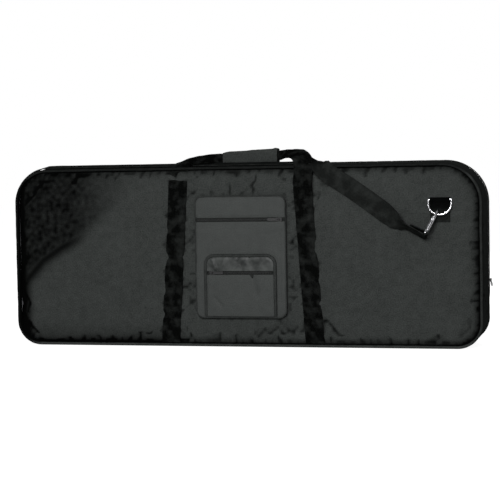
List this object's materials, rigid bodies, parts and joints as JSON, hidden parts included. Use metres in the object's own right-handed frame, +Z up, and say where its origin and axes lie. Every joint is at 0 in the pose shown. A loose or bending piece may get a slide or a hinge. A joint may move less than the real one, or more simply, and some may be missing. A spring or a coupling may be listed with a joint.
{
  "type": "telescope carry case",
  "caption": "Long padded black carry case that unzips and folds open, with a wrapped carry handle, zipped front pockets and a shoulder strap hooked to a D-ring.",
  "frame": {"origin": "middle of the flat base, on the plane of the zip between the two halves", "axes": "+X along the case to the right seen from the front, +Y from the pocket side to the back, +Z up"},
  "size_m": [1.0254, 0.2058, 0.4153],
  "materials": {
    "cover_cloth": "woven polyester, slight sheen",
    "smooth_cloth": "smoother coated cloth of the pockets",
    "window": "soft glossy film",
    "webbing": "ribbed black webbing",
    "binding": "dark woven binding tape",
    "zip_tape": "knitted tape",
    "zip_coil": "nylon coil",
    "slider_black": "black enamel",
    "chrome": "bright nickel plate",
    "spring_steel": "drawn wire",
    "lining": "plain woven lining",
    "foam": "open foam sheet"
  },
  "bodies": {
    "case_body": {"back_panel": "cover_cloth", "back_top": "cover_cloth", "back_left_end": "cover_cloth", "back_right_end": "cover_cloth", "back_base": "cover_cloth", "back_left_foot": "cover_cloth", "back_right_foot": "cover_cloth", "back_piping": "cover_cloth", "back_foam": "foam", "back_side_foam": "foam", "back_lining": "lining", "back_lining_wall": "lining", "back_zip_tape": "zip_tape", "back_zip_coil": "zip_coil", "back_straps": "webbing"},
    "lid": {"front_panel": "cover_cloth", "front_top": "cover_cloth", "front_left_end": "cover_cloth", "front_right_end": "cover_cloth", "front_base": "cover_cloth", "front_left_foot": "cover_cloth", "front_right_foot": "cover_cloth", "front_piping": "cover_cloth", "front_foam": "foam", "front_side_foam": "foam", "front_lining": "lining", "front_lining_wall": "lining", "front_zip_tape": "zip_tape", "front_zip_coil": "zip_coil", "front_straps": "webbing", "pocket_wall": "smooth_cloth", "pocket_top_band": "smooth_cloth", "pocket_front": "smooth_cloth", "pocket_zip_tape": "zip_tape", "pocket_zip_coil": "zip_coil", "small_binding": "binding", "small_window": "window", "small_panel": "smooth_cloth", "small_zip_tape": "zip_tape", "small_zip_coil": "zip_coil", "ring_tab": "webbing", "strap_loop": "chrome", "shoulder_strap": "webbing"},
    "main_slider": {"main_slider": "slider_black"},
    "main_pull": {"main_pull_ring": "chrome"},
    "front_handle": {"front_handle_left_leg": "webbing", "front_handle_right_leg": "webbing", "front_grip": "cover_cloth"},
    "back_handle": {"back_handle_left_leg": "webbing", "back_handle_right_leg": "webbing", "back_grip": "cover_cloth"},
    "pocket_slider": {"pocket_slider": "slider_black"},
    "pocket_pull": {"pocket_pull": "slider_black"},
    "small_slider": {"small_slider": "slider_black"},
    "small_pull": {"small_pull": "slider_black"},
    "d_ring": {"d_ring": "chrome"},
    "snap_hook": {"hook": "chrome", "hook_spring": "spring_steel"},
    "hook_bolt": {"hook_bolt": "chrome"}
  },
  "joints": [
    {"name": "lid_hinge", "type": "hinge", "parent": "case_body", "child": "lid", "pos_m": [0, -0.00015, -0.00015], "axis": [1, 0, 0], "range_deg": [0, 180]},
    {"name": "main_zip_travel", "type": "slide", "parent": "case_body", "child": "main_slider", "axis": [0, 0, 1], "range_m": [0, 0.14]},
    {"name": "main_pull_swing", "type": "hinge", "parent": "main_slider", "child": "main_pull", "pos_m": [0.51085, 0, 0.137], "axis": [0, -1, 0], "range_deg": [0, 150]},
    {"name": "front_handle_swing", "type": "hinge", "parent": "lid", "child": "front_handle", "pos_m": [0, -0.0772, 0.35], "axis": [1, 0, 0], "range_deg": [0, 150]},
    {"name": "back_handle_swing", "type": "hinge", "parent": "case_body", "child": "back_handle", "pos_m": [0, 0.0772, 0.35], "axis": [-1, 0, 0], "range_deg": [0, 150]},
    {"name": "pocket_zip_travel", "type": "slide", "parent": "lid", "child": "pocket_slider", "axis": [-1, 0, 0], "range_m": [0, 0.165]},
    {"name": "pocket_pull_swing", "type": "hinge", "parent": "pocket_slider", "child": "pocket_pull", "pos_m": [0.0861, -0.089, 0.267], "axis": [0, 0, 1], "range_deg": [0, 110]},
    {"name": "small_zip_travel", "type": "slide", "parent": "lid", "child": "small_slider", "axis": [1, 0, 0], "range_m": [0, 0.115]},
    {"name": "small_pull_swing", "type": "hinge", "parent": "small_slider", "child": "small_pull", "pos_m": [-0.0575, -0.0952, 0.157], "axis": [0, 0, -1], "range_deg": [0, 110]},
    {"name": "ring_swing", "type": "hinge", "parent": "lid", "child": "d_ring", "pos_m": [0.418, -0.0798, 0.304], "axis": [1, 0, 0], "range_deg": [-3, 4]},
    {"name": "hook_swivel", "type": "hinge", "parent": "lid", "child": "snap_hook", "pos_m": [0.39546, -0.09875, 0.2443], "axis": [0.4318, 0.309, 0.8474], "range_deg": [-20, 20]},
    {"name": "bolt_slide", "type": "slide", "parent": "snap_hook", "child": "hook_bolt", "axis": [-0.4318, -0.309, -0.8474], "range_m": [0, 0.007], "stiffness_N_per_m": 120, "springref_m": -0.004, "deforming": ["hook_spring"]}
  ]
}
